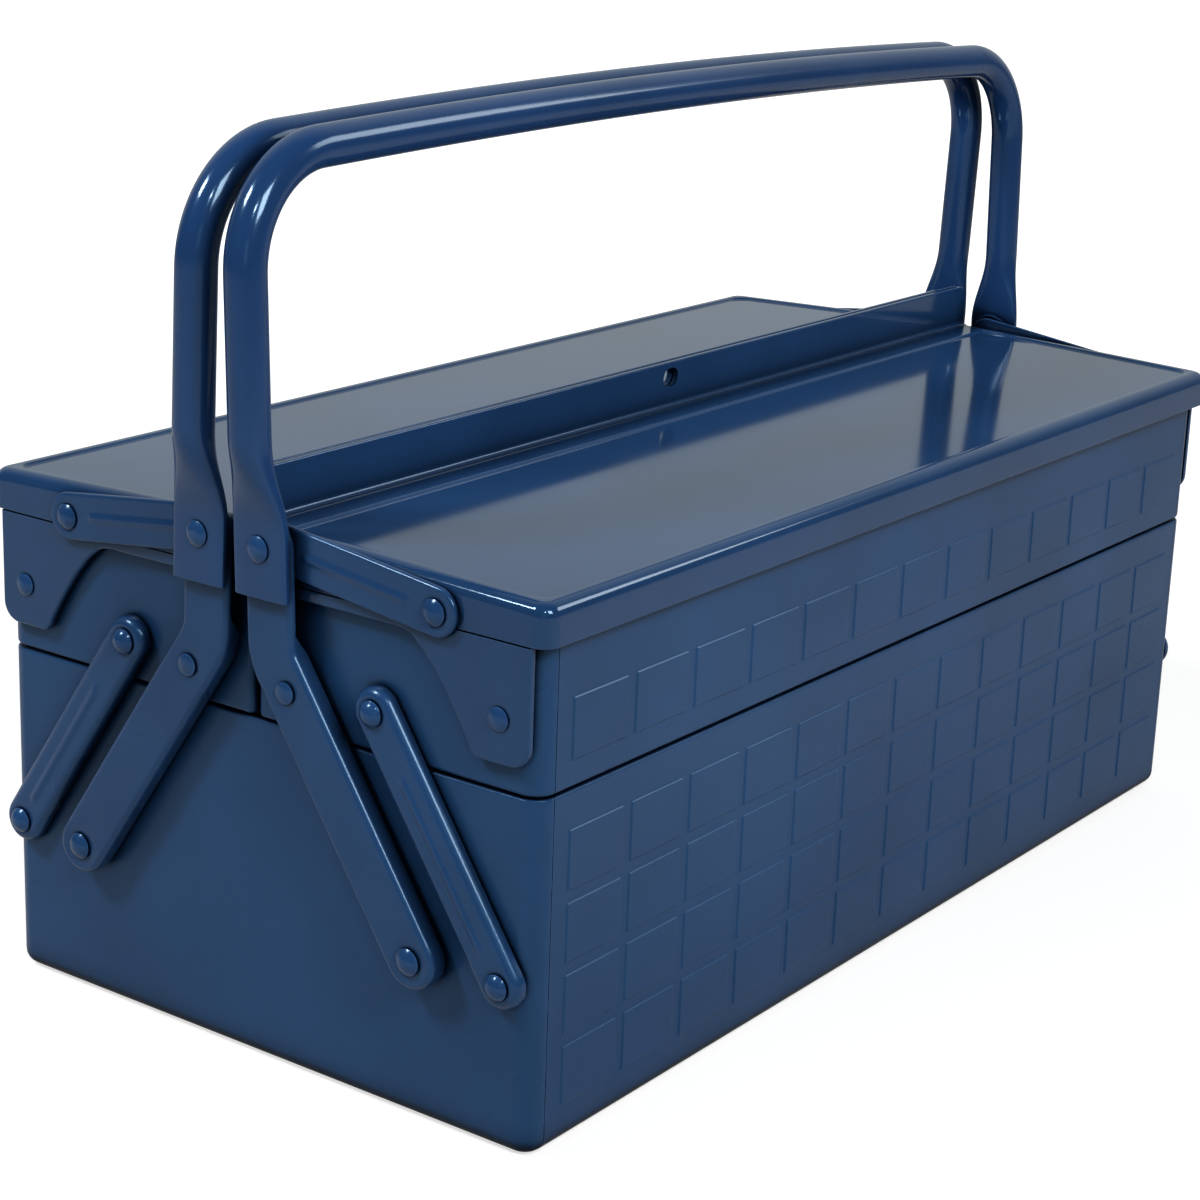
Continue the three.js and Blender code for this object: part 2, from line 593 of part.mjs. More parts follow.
const toolBox = new THREE.Group();
const baseTiles = (solid, y) => addTiles(solid, y, BASE_TILE_TOPS);
const baseShell = baseTiles(baseTiles(tubShell(baseTub), -HALF_DEPTH), HALF_DEPTH);
toolBox.add(toMesh('base_shell', baseShell, bodyBlue()));
toolBox.add(toMesh('base_left_end', baseEnd(-1), bodyBlue()));
toolBox.add(toMesh('base_right_end', baseEnd(1), bodyBlue()));
toolBox.add(makeHalf('front'), makeHalf('rear'));

export default toolBox;
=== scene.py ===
import json
import math

import bmesh
import bpy
from mathutils import Matrix, Vector


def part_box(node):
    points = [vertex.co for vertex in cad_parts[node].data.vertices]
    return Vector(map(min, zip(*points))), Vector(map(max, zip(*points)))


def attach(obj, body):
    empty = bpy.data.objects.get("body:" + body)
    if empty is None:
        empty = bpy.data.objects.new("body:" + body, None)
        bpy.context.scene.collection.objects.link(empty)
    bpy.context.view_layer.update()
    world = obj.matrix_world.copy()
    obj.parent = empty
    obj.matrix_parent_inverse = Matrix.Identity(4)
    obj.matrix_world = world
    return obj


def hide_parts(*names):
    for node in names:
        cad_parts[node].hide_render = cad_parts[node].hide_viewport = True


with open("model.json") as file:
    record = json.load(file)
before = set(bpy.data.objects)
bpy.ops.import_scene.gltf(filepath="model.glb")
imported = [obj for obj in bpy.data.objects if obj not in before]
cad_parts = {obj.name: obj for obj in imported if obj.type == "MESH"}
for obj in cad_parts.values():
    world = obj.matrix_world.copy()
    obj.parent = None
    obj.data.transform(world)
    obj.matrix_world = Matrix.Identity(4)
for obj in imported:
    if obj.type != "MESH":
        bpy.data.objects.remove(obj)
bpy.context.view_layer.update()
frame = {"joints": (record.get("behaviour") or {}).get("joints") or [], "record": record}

# Looks of a two-tier cantilever steel tool box. Lengths are in millimetres until a mesh is
# made. Every piece is written once, for the front half and its left end. The right end
# mirrors the left one, and the rear half is the front half turned half a turn about Z.

MM = 0.001
JOINTS = {joint["name"]: joint for joint in frame["joints"]}


# ---- places taken from the frame -----------------------------------------------------
def mm_box(node):
    low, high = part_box(node)
    return [c / MM for c in low], [c / MM for c in high]


def middle(node):
    """The centre of a node across the length of the box, as (y, z)."""
    low, high = mm_box(node)
    return (low[1] + high[1]) / 2, (low[2] + high[2]) / 2


def pivot(joint):
    _, y, z = JOINTS[joint]["pos_m"]
    return y / MM, z / MM


WALL = -mm_box("base_left_end")[0][0]


def layer(node):
    """Where a piece of the left end starts and stops, out from the end wall."""
    low, high = mm_box(node)
    return -high[0] - WALL, -low[0] - WALL


ARM_BASE = pivot("front_handle_swing")
LINK_BASE = pivot("front_left_short_link_swing")
ARM_TRAY = pivot("front_tray_level")
LINK_TRAY = middle("front_left_link_tray_rivet")
HANDLE_PIVOT = pivot("front_left_lid_link_swing")
LID_LINK_PIVOT = middle("front_left_lid_link_rivet")

# ---- sizes that the frame doesn't give -----------------------------------------------
SHEET = 1.0
HEM = 2.2                # thickness of the folded rim
HEM_HEIGHT = 7.0
HEM_CROWN = 0.7          # height of the rim's rounded top
CORNER = 7.0             # upright corners; the end panels wrap round them
SEAM = 0.3
BASE_FLOOR_EDGE = 5.0    # radius between the walls and the floor
TRAY_FLOOR_EDGE = 1.5
TRAY_INNER_CORNER = 2.5

TILE_COLUMNS = 13
TILE_PITCH = 30.0
TILE_WIDTH = 26.6
TILE_HEIGHT = 19.2
TILE_DEPTH = 0.5
TILE_EDGE = 0.8          # width of the slope round a tile
BASE_TILE_TOPS = (98.5, 76.2, 53.9, 31.6)
TRAY_TILE_TOPS = (138.0,)

LID_EDGE_TOP = 168.0     # top of the lid beside its rounded outer edge
LID_RISE = 3.5
LID_ROUND = 4.0
LID_CORNER = 6.0
PANEL_DROP = 0.8
PANEL_SLOPE = 0.7        # half the width of the step down to the panel
PANEL_BORDER = 6.0
PANEL_LEDGE = 14.0
PANEL_CORNER = 6.0
RIDGE_END = 208.5
RIDGE_THICKNESS = 2.0
RIDGE_FOOT = 1.6         # radius between the ridge and the lid
RIDGE_EDGE = 0.6         # radius of its long top edges
RIDGE_END_ROUND = 4.0
LOCK_HOLE = (8.8, 6.6)
LOCK_HOLE_Z = 181.5

ARM_HALF_WIDTH = 9.0
LINK_HALF_WIDTH = 7.5
ARM_KNEE = (-13.0, 134.0)
ARM_BEND = 16.0
FLANGE_TOP = 143.0       # above this the arm's folded edges are shallow
FLANGE_RUNOUT = 8.0
CHANNEL_SHEET = 1.3
ARM_SHOULDER = 1.9       # radius between a channel's face and its folded edges
LINK_SHOULDER = 2.9
LIP = 0.3                # small bevels on the backs of the pieces on the end walls
DISH = 5.6               # radius of the hollow pressed round a rivet
ARM_FOOT_DISH = 6.8
FACE_LINES = (0, 0.4, 0.8, 1.2, 1.6, 2.0, 2.5, 3.0, 3.6, 4.2, 4.8)  # out from the middle

EAR_WIDTH = 20.5         # hinge ear of a lid's end plate
EAR_CORNER = 6.5
STRIP_DEPTH = 13.0       # the end plate behind the lid's rim
SWEEP_BEND = (-71.0, 144.0)  # the curve from the ear to the strip bends towards this
SWEEP_END = -63.0
STRIP_START = -56.0

SHANK_RADIUS = 2.2
TAIL_RADIUS = 3.0
TAIL_HEIGHT = 0.6
HEAD_BRIM = 0.2          # upright edge below a rivet head's dome
DIMPLE_RADIUS = 1.6

TUBE_RADIUS = 6.2
HANDLE_BEND = 33.0
GRIP_BOW = 3.2           # how much lower the grip is beside its corners
HANDLE_LEAN = 0.033
FLAT_TOP = 178.0
NECK_TOP = 200.0
FLAT_HALF_WIDTH = 10.0
FLAT_OUT = 10.2          # middle of the flattened end, out from the end wall
FLAT_THICKNESS = 3.0
FLAT_EDGE = 0.5          # rounding at the lower end of the flat
FLAT_POWER = 0.3         # 1 makes a section round, and less makes it flat-sided
NECK_BELOW = 6.0         # the neck starts this far below FLAT_TOP


# ---- small shape helpers -------------------------------------------------------------
def ease(t):
    t = min(max(t, 0.0), 1.0)
    return t * t * (3 - 2 * t)


def arc(centre, radius, start, stop, steps):
    """Points on a circle from one angle to another, in degrees, both ends included."""
    points = []
    for i in range(steps + 1):
        a = math.radians(start + (stop - start) * i / steps)
        points.append((centre[0] + radius * math.cos(a), centre[1] + radius * math.sin(a)))
    return points


def quarter_turn(steps):
    """Angles from 0 to a right angle, in radians, both included."""
    return [math.pi / 2 * i / steps for i in range(steps + 1)]


def full_turn(count):
    return [math.tau * i / count for i in range(count)]


WALL_GAP = 20            # between points along a plain wall
LONG_GAP = 60            # between points along the length of a lid
BAR_GAP = 1.2            # between points along a link


def spread(low, high, gap):
    """Evenly spaced values from low to high, at most gap apart."""
    count = max(1, math.ceil(abs(high - low) / gap))
    return [low + (high - low) * i / count for i in range(count + 1)]


def distance(a, b):
    return math.hypot(a[0] - b[0], a[1] - b[1])


def from_segment(p, a, b):
    """Distance from p to the straight line between a and b."""
    along = (p[0] - a[0]) * (b[0] - a[0]) + (p[1] - a[1]) * (b[1] - a[1])
    t = min(max(along / distance(a, b) ** 2, 0.0), 1.0)
    return distance(p, (a[0] + (b[0] - a[0]) * t, a[1] + (b[1] - a[1]) * t))


def between(a, b, t):
    return a[0] + (b[0] - a[0]) * t, a[1] + (b[1] - a[1]) * t


def curve(a, control, b, steps=8):
    """Points of a quadratic curve."""
    points = []
    for i in range(steps + 1):
        t = i / steps
        points.append(between(between(a, control, t), between(control, b, t), t))
    return points


def skin(bm, rings, closed_ends=True):
    """Joins rings of equal count with quads, and closes the two ends if asked."""
    rows = [[bm.verts.new(p) for p in ring] for ring in rings]
    count = len(rows[0])
    for near, far in zip(rows, rows[1:]):
        for i in range(count):
            j = (i + 1) % count
            bm.faces.new((near[i], near[j], far[j], far[i]))
    if closed_ends:
        bm.faces.new(rows[0])
        bm.faces.new(rows[-1])
    return bm


SAME_PLACE = 1e-4        # points nearer than this are one


def keep_side(bm, co, no):
    """Keeps what lies on the side of the plane that no points to, and closes the cut."""
    geometry = bm.verts[:] + bm.edges[:] + bm.faces[:]
    bmesh.ops.bisect_plane(bm, geom=geometry, dist=SAME_PLACE, plane_co=co, plane_no=no,
                           clear_inner=True)
    bmesh.ops.edgeloop_fill(bm, edges=[e for e in bm.edges if e.is_boundary])


def tidy(bm):
    bmesh.ops.remove_doubles(bm, verts=bm.verts, dist=SAME_PLACE)
    bmesh.ops.recalc_face_normals(bm, faces=bm.faces)
    return bm


def mesh_from(name, bm):
    """Turns a bmesh into a mesh, and frees it."""
    mesh = bpy.data.meshes.new(name)
    bm.to_mesh(mesh)
    bm.free()
    return mesh


def add_object(name, data):
    obj = bpy.data.objects.new(name, data)
    bpy.context.scene.collection.objects.link(obj)
    return obj


# ---- tubs: the base and the trays ----------------------------------------------------
def tile_relief(x, z, tops):
    """How far a long wall stands out at a place, from the tiles pressed into it."""
    column = round(x / TILE_PITCH)
    if abs(column) > TILE_COLUMNS // 2:
        return 0.0
    dx = TILE_WIDTH / 2 - abs(x - column * TILE_PITCH)
    height = 0.0
    for top in tops:
        dz = TILE_HEIGHT / 2 - abs(z - top + TILE_HEIGHT / 2)
        height = max(height, ease(min(dx, dz) / TILE_EDGE))
    return TILE_DEPTH * height


def edge_stations(low, high):
    """Places across one tile at which its sloping edges need points."""
    steps = [TILE_EDGE * i / 4 for i in range(5)]
    return [low + s for s in steps] + [high - s for s in reversed(steps)]


def tub(low, high, top, edge, corners, tops, tiled_sides):
    """A folded sheet tub with a hemmed rim. edge is the radius round its floor. corners
    are the radii of the upright corners, and tiled_sides is 1 where a long wall has
    tiles and 0 where it is plain, each at low and then at high y."""
    (x0, y0, floor), (x1, y1) = low, high
    xs = [x0 + CORNER]
    for column in range(TILE_COLUMNS):
        centre = (column - (TILE_COLUMNS - 1) / 2) * TILE_PITCH
        xs += edge_stations(centre - TILE_WIDTH / 2, centre + TILE_WIDTH / 2)
    xs.append(x1 - CORNER)
    rim = HEM / 2
    hem_foot = top - HEM_HEIGHT
    zs = {floor + edge, top - rim, hem_foot - 1}
    for tile_top in tops:
        zs.update(edge_stations(tile_top - TILE_HEIGHT, tile_top))
    zs = sorted(zs)
    low_radius, high_radius = corners

    def corner(x, y, radius, inset, start):
        """A quarter of a circle. x is CORNER in from the end, and y is radius in."""
        out = 1 if x > 0 else -1
        return [(px + out * CORNER - out * radius, py)
                for px, py in arc((x, y), radius - inset, start, start + 90, 8)]

    def ring(inset, z, relief=True):
        bulge = [tile_relief(x, z, tops) if relief else 0.0 for x in xs]
        y_from, y_to = y0 + low_radius, y1 - high_radius
        points = [(x, y0 + inset - h * tiled_sides[0]) for x, h in zip(xs, bulge)]
        points += corner(x1 - CORNER, y_from, low_radius, inset, -90)[1:]
        points += [(x1 - inset, y) for y in spread(y_from, y_to, WALL_GAP)[1:-1]]
        points += corner(x1 - CORNER, y_to, high_radius, inset, 0)
        points += [(x, y1 - inset + h * tiled_sides[1])
                   for x, h in reversed(list(zip(xs, bulge)))]
        points += corner(x0 + CORNER, y_to, high_radius, inset, 90)
        points += [(x0 + inset, y) for y in spread(y_to, y_from, WALL_GAP)[1:-1]]
        points += corner(x0 + CORNER, y_from, low_radius, inset, 180)[:-1]
        return [(x, y, z) for x, y in points]

    rings = [ring(edge * (1 - math.sin(t)), floor + edge * (1 - math.cos(t)), False)
             for t in quarter_turn(6)]
    rings += [ring(0, z) for z in zs[1:]]
    rings += [ring(rim - rim * math.cos(t), top - HEM_CROWN + HEM_CROWN * math.sin(t), False)
              for t in [math.pi * i / 8 for i in range(1, 9)]]
    rings += [ring(HEM, hem_foot + 0.5), ring(HEM - 0.4, hem_foot),
              ring(SHEET + 0.1, hem_foot)]
    inner_edge = edge - SHEET
    rings += [ring(SHEET, z) for z in reversed(zs) if z < hem_foot]
    rings += [ring(SHEET + inner_edge * (1 - math.cos(t)),
                   floor + edge - inner_edge * math.sin(t), False)
              for t in quarter_turn(6)[1:]]
    return tidy(skin(bmesh.new(), rings))


def base_tub():
    low, high = mm_box("base_left_end")
    return tub(low, (-low[0], high[1]), high[2], BASE_FLOOR_EDGE,
               (CORNER, CORNER), BASE_TILE_TOPS, (1, 1))


def tray_tub():
    low, high = mm_box("front_left_tray_end")
    return tub(low, (-low[0], high[1]), high[2], TRAY_FLOOR_EDGE,
               (CORNER, TRAY_INNER_CORNER), TRAY_TILE_TOPS, (1, 0))


def shell_of(bm):
    """The long walls and floor of a tub, between its end panels."""
    reach = WALL - CORNER
    keep_side(bm, (-reach, 0, 0), (1, 0, 0))
    keep_side(bm, (reach, 0, 0), (-1, 0, 0))
    return bm


def end_of(bm, side):
    """One end panel of a tub, with the corners that it wraps round."""
    reach = WALL - CORNER + SEAM
    keep_side(bm, (side * reach, 0, 0), (side, 0, 0))
    return bm


# ---- lids ----------------------------------------------------------------------------
def join(bm, tool, operation):
    """The union or difference of two closed meshes, as a new bmesh."""
    objects = [add_object("cut", mesh_from("cut", part)) for part in (bm, tool)]
    modifier = objects[0].modifiers.new("cut", "BOOLEAN")
    modifier.object = objects[1]
    modifier.operation = operation
    modifier.solver = "EXACT"
    evaluated = objects[0].evaluated_get(bpy.context.evaluated_depsgraph_get())
    result = bmesh.new()
    result.from_mesh(evaluated.to_mesh())
    for obj in objects:
        bpy.data.objects.remove(obj)
    return tidy(result)


def lid_pan():
    """The pressed top of a lid with its rim, before the upstand is folded up."""
    low, high = mm_box("front_lid")
    x_end, y_out, bottom = high[0], low[1], low[2]
    past = 6.0           # each ring runs this far past the centre, and is cut there
    inner = 0.4
    side_steps = 4

    def ring(inset, z, y1=past, corner=None):
        radius = max(LID_CORNER - inset, inner) if corner is None else corner
        x = x_end - inset
        y0 = y_out + inset
        points = [(px, y0) for px in spread(-x + radius, x - radius, LONG_GAP)]
        points += arc((x - radius, y0 + radius), radius, -90, 0, 8)[1:]
        points += [(x, py) for py in (y0 + radius + (y1 - inner - y0 - radius) * i / side_steps
                                      for i in range(1, side_steps))]
        points += arc((x - inner, y1 - inner), inner, 0, 90, 3)
        points += [(px, y1) for px in spread(x - inner, -x + inner, LONG_GAP)[1:-1]]
        points += arc((-x + inner, y1 - inner), inner, 90, 180, 3)
        points += [(-x, py) for py in (y1 - inner + (y0 + radius - y1 + inner) * i / side_steps
                                       for i in range(1, side_steps))]
        points += arc((-x + radius, y0 + radius), radius, 180, 270, 8)[:-1]
        return [(px, py, z) for px, py in points]

    def panel(grow, z):
        return ring(PANEL_BORDER - grow, z, -PANEL_LEDGE + grow, PANEL_CORNER + grow)

    def drop(grow):
        return PANEL_DROP * ease((PANEL_SLOPE - grow) / (2 * PANEL_SLOPE))

    quarter = quarter_turn(8)
    under = LID_ROUND - SHEET
    centre_z = LID_EDGE_TOP - LID_ROUND
    step = [PANEL_SLOPE, PANEL_SLOPE / 2, 0.0, -PANEL_SLOPE / 2, -PANEL_SLOPE]
    rings = [panel(g, LID_EDGE_TOP - SHEET - drop(g)) for g in reversed(step)]
    rings += [ring(LID_ROUND - under * math.sin(t), centre_z + under * math.cos(t))
              for t in quarter]
    rings += [ring(SHEET, bottom + 0.4), ring(SHEET - 0.2, bottom + 0.1),
              ring(SHEET / 2, bottom), ring(0.2, bottom + 0.1), ring(0, bottom + 0.4)]
    rings += [ring(LID_ROUND * (1 - math.cos(t)), centre_z + LID_ROUND * math.sin(t))
              for t in quarter]
    rings += [panel(g, LID_EDGE_TOP - drop(g)) for g in step]
    bm = tidy(skin(bmesh.new(), rings))
    gap = -high[1]
    keep_side(bm, (0, -gap, 0), (0, -1, 0))
    level = centre_z - SEAM
    for v in bm.verts:
        if v.co.z > level:
            v.co.z += LID_RISE * (1 + v.co.y / -y_out)
    return bm


def ridge():
    """The upstand along the centre edge of a lid, with a rounded foot and top."""
    low, high = mm_box("front_lid")
    back, top = high[1], high[2]
    face = back - RIDGE_THICKNESS
    foot = RIDGE_FOOT
    fall = LID_RISE / -low[1]
    deck = LID_EDGE_TOP + LID_RISE - 0.02
    sunk = deck - SHEET * 0.7

    def section(x, height):
        edge = height - RIDGE_EDGE
        outline = [(back, sunk)]
        outline += arc((back - RIDGE_EDGE, edge), RIDGE_EDGE, 0, 90, 5)
        outline += arc((face + RIDGE_EDGE, edge), RIDGE_EDGE, 90, 180, 5)
        base = deck + fall * (face - foot)
        outline += arc((face - foot, base + foot), foot, 0, -90, 8)
        outline.append((face - foot - 0.1, sunk))
        return [(x, y, z) for y, z in outline]

    xs = [-RIDGE_END + RIDGE_END_ROUND * (1 - math.cos(t)) for t in quarter_turn(8)]
    tops = [top - RIDGE_END_ROUND * (1 - math.sin(t)) for t in quarter_turn(8)]
    stations = list(zip(xs, tops)) + [(x, top) for x in spread(xs[-1], -xs[-1], 40)[1:-1]]
    stations += [(-x, z) for x, z in reversed(list(zip(xs, tops)))]
    bm = tidy(skin(bmesh.new(), [section(x, z) for x, z in stations]))
    width, height = LOCK_HOLE
    run = (width - height) / 2
    oval = arc((run, LOCK_HOLE_Z), height / 2, -90, 90, 16)
    oval += arc((-run, LOCK_HOLE_Z), height / 2, 90, 270, 16)
    hole = skin(bmesh.new(), [[(x, y, z) for x, z in oval] for y in (face - 2, back + 2)])
    return join(bm, tidy(hole), "DIFFERENCE")


# ---- pieces on the end walls ---------------------------------------------------------
def out_from(side, rings):
    """Turns rings of (out, y, z) into points on the left (-1) or the right (1) end."""
    return [[(side * (WALL + out), y, z) for out, y, z in ring] for ring in rings]


def centreline(points, bend, gap):
    """Samples along a bent line, as (place, direction), with a round bend."""
    samples = []
    start = points[0]
    for i, corner in enumerate(points[1:], 1):
        before = math.atan2(corner[1] - points[i - 1][1], corner[0] - points[i - 1][0])
        if i == len(points) - 1:
            stop, turn = corner, None
        else:
            after = math.atan2(points[i + 1][1] - corner[1], points[i + 1][0] - corner[0])
            turn = after - before
            cut = bend * math.tan(abs(turn) / 2)
            stop = (corner[0] - cut * math.cos(before), corner[1] - cut * math.sin(before))
        for t in spread(0, distance(start, stop), gap):
            along = (start[0] + t * math.cos(before), start[1] + t * math.sin(before))
            samples.append((along, before))
        if turn is not None:
            sign = 1 if turn > 0 else -1
            centre = (stop[0] - sign * bend * math.sin(before),
                      stop[1] + sign * bend * math.cos(before))
            steps = 8
            for k in range(1, steps):
                a = before + turn * k / steps
                samples.append(((centre[0] + sign * bend * math.sin(a),
                                 centre[1] - sign * bend * math.cos(a)), a))
            start = (centre[0] + sign * bend * math.sin(before + turn),
                     centre[1] - sign * bend * math.cos(before + turn))
    return samples


def bar_ring(samples, d):
    """The line at distance d round a centreline, as (y, z) points."""
    left = [(p[0] - d * math.sin(a), p[1] + d * math.cos(a)) for p, a in samples]
    right = [(p[0] + d * math.sin(a), p[1] - d * math.cos(a)) for p, a in samples]
    (first, first_way), (last, last_way) = samples[0], samples[-1]
    first_way, last_way = math.degrees(first_way), math.degrees(last_way)
    end = arc(last, d, last_way - 90, last_way + 90, 20)[1:-1]
    head = arc(first, d, first_way + 90, first_way + 270, 20)[1:-1]
    return right + end + list(reversed(left)) + head


def bar(side, samples, section, press):
    """A bar whose section is a list of (distance from the centreline, how far out it is
    at a height, share of the pressing there). press(y, z) says how far a place on the
    outer face is pushed out."""
    rings = []
    for d, out, share in section:
        rings.append([(out(z) + press(y, z) * share, y, z)
                      for y, z in bar_ring(samples, d)])
    return tidy(skin(bmesh.new(), out_from(side, rings), closed_ends=False))


def flat(value):
    """The same distance out at every height."""
    return lambda z: value


def channel_section(half, low, top, sheet, shoulder):
    """Outer face, folded edges and inner face of a pressed channel."""
    fine = [d for d in FACE_LINES if d < half - shoulder]
    section = [(d, flat(top), 1) for d in fine]
    for t in quarter_turn(6):
        section.append((half - shoulder + shoulder * math.sin(t),
                        flat(top - shoulder + shoulder * math.cos(t)), math.cos(t) ** 2))
    section += [(half, lambda z: low(z) + LIP, 0), (half - LIP, low, 0),
                (half - sheet + LIP, low, 0), (half - sheet, lambda z: low(z) + LIP, 0)]
    inner = max(shoulder - sheet, 0.3)
    for t in quarter_turn(3):
        section.append((half - sheet - inner + inner * math.cos(t),
                        flat(top - sheet - inner + inner * math.sin(t)), 0))
    section += [(d, flat(top - sheet), 1) for d in reversed(fine)]
    return section


def flat_section(half, low, top, edge):
    """Outer face, rounded edges and back of a flat bar."""
    section = [(d, flat(top), 1) for d in FACE_LINES + (5.4,) if d < half - edge]
    for t in quarter_turn(4):
        section.append((half - edge + edge * math.sin(t),
                        flat(top - edge + edge * math.cos(t)), 0))
    section += [(half, flat(low + LIP), 0), (half - LIP, flat(low), 0), (0, flat(low), 0)]
    return section


def rib(a, b, width, height):
    """A raised rib from a to b that fades out at width from that line."""
    def press(y, z):
        return height * (1 - ease(from_segment((y, z), a, b) / width))
    return press


def dish(centre, radius, depth):
    """A shallow round hollow, flat in its inner 60 percent."""
    def press(y, z):
        return -depth * (1 - ease((distance((y, z), centre) - radius * 0.6) / (radius * 0.4)))
    return press


def pressed(*shapes):
    """All of the shapes pressed into one face."""
    return lambda y, z: sum(shape(y, z) for shape in shapes)


def long_arm(side):
    low, top = layer("front_left_long_arm")
    shallow = top - CHANNEL_SHEET - 0.6

    def flange(z):
        return low + (shallow - low) * ease((z - FLANGE_TOP + FLANGE_RUNOUT) / FLANGE_RUNOUT)

    samples = centreline([ARM_BASE, ARM_KNEE, HANDLE_PIVOT], ARM_BEND, 2.0)
    section = channel_section(ARM_HALF_WIDTH, flange, top, CHANNEL_SHEET, ARM_SHOULDER)
    press = pressed(dish(ARM_BASE, ARM_FOOT_DISH, 0.35), dish(ARM_TRAY, DISH, 0.3))
    return bar(side, samples, section, press)


def short_link(side):
    low, top = layer("front_left_short_link")
    samples = centreline([LINK_BASE, LINK_TRAY], 1, BAR_GAP)
    section = channel_section(LINK_HALF_WIDTH, flat(low), top, CHANNEL_SHEET, LINK_SHOULDER)
    line = [between(LINK_BASE, LINK_TRAY, t) for t in (0.13, 0.74)]
    press = pressed(rib(*line, 2.0, 0.6), dish(LINK_BASE, DISH, 0.3),
                    dish(LINK_TRAY, DISH, 0.3))
    return bar(side, samples, section, press)


def lid_link(side):
    low, top = layer("front_left_lid_link")
    samples = centreline([HANDLE_PIVOT, LID_LINK_PIVOT], 1, BAR_GAP)
    section = flat_section(LINK_HALF_WIDTH, low, top, 1.0)
    line = [between(HANDLE_PIVOT, LID_LINK_PIVOT, t) for t in (0.22, 0.82)]
    press = pressed(rib(*line, 2.2, 0.5), dish(LID_LINK_PIVOT, DISH, 0.25))
    return bar(side, samples, section, press)


def end_plate_outline():
    low, high = mm_box("front_left_lid_end_plate")
    ear_out, ear_in = low[1], low[1] + EAR_WIDTH
    strip_low = high[2] - STRIP_DEPTH
    outline = [(high[1], strip_low), (high[1], high[2]), (ear_out, high[2])]
    outline += arc((ear_out + EAR_CORNER, low[2] + EAR_CORNER), EAR_CORNER, 180, 270, 8)
    heel = (ear_in + 1, low[2] + 4)
    sweep_end = (SWEEP_END, strip_low - 2)
    outline += curve((ear_in - 3, low[2]), (ear_in, low[2] + 0.3), heel)
    outline += curve(heel, SWEEP_BEND, sweep_end)[1:]
    outline += curve(sweep_end, (SWEEP_END + 2.5, strip_low), (STRIP_START, strip_low))[1:]
    return outline


def inset_outline(outline, amount):
    """Moves each point of a clockwise or anticlockwise outline inwards."""
    area = sum(a[0] * b[1] - b[0] * a[1] for a, b in zip(outline, outline[1:] + outline[:1]))
    sign = 1 if area > 0 else -1
    moved = []
    for i, p in enumerate(outline):
        a, b = outline[i - 1], outline[(i + 1) % len(outline)]
        u = Vector((p[0] - a[0], p[1] - a[1])).normalized()
        v = Vector((b[0] - p[0], b[1] - p[1])).normalized()
        n = Vector((-u.y - v.y, u.x + v.x)).normalized() * sign
        scale = amount / max(n.dot(Vector((-u.y, u.x)) * sign), 0.3)
        moved.append((p[0] + n.x * scale, p[1] + n.y * scale))
    return moved


def end_plate(side):
    """A strip behind the lid's rim that widens into an ear flush with the rim."""
    low, flush = layer("front_left_lid_end_plate")
    outline = end_plate_outline()

    def slab(top, edge):
        steps = [(LIP, low), (0, low + LIP)]
        for t in quarter_turn(5):
            steps.append((edge * (1 - math.cos(t)), top - edge + edge * math.sin(t)))
        rings = [[(out, y, z) for y, z in inset_outline(outline, inset)]
                 for inset, out in steps]
        return tidy(skin(bmesh.new(), out_from(side, rings)))

    ear = slab(flush, 0.9)
    rim_foot = mm_box("front_lid")[0][2] - SEAM
    keep_side(ear, (0, 0, rim_foot), (0, 0, -1))
    return join(ear, slab(low + SHEET, 0.3), "UNION")


# ---- rivets --------------------------------------------------------------------------
def rivet(side, node, head_height, head_radius, dimple, proud):
    """A rivet: a small tail inside, a shank and a domed head outside, which stands proud
    of the frame's own flatter head."""
    low, top = layer(node)
    top += proud
    y, z = middle(node)
    foot = top - head_height
    profile = [(0, low), (TAIL_RADIUS - LIP, low), (TAIL_RADIUS, low + LIP),
               (TAIL_RADIUS, low + TAIL_HEIGHT), (SHANK_RADIUS, low + TAIL_HEIGHT),
               (SHANK_RADIUS, foot), (head_radius - 0.15, foot),
               (head_radius, foot + HEAD_BRIM)]
    cap = head_height - HEAD_BRIM
    ball = (head_radius ** 2 + cap ** 2) / (2 * cap)
    steps = 10
    for i in range(1, steps + 1):
        radius = head_radius * (1 - i / steps)
        rise = math.sqrt(ball ** 2 - radius ** 2) - (ball - cap)
        hollow = dimple * (1 - ease(radius / DIMPLE_RADIUS))
        profile.append((radius, foot + HEAD_BRIM + rise - hollow))
    rings = [[(out, y + radius * math.cos(a), z + radius * math.sin(a)) for a in full_turn(40)]
             for radius, out in profile]
    return tidy(skin(bmesh.new(), out_from(side, rings), closed_ends=False))


# ---- handles -------------------------------------------------------------------------
def handle_ring(centre, outward, across, thick, power):
    """One section of the handle round centre, as (x, z). It reaches across to each side
    along Y and thick along outward, and power says how round it is."""
    ring = []
    pivot_y, lean_from = HANDLE_PIVOT
    for a in full_turn(56):
        w = across * math.copysign(abs(math.cos(a)) ** (0.5 + power / 2), math.cos(a))
        t = thick * math.copysign(abs(math.sin(a)) ** power, math.sin(a))
        x = centre[0] + outward[0] * t
        z = centre[1] + outward[1] * t
        ring.append((x, pivot_y + w + HANDLE_LEAN * (z - lean_from), z))
    return ring


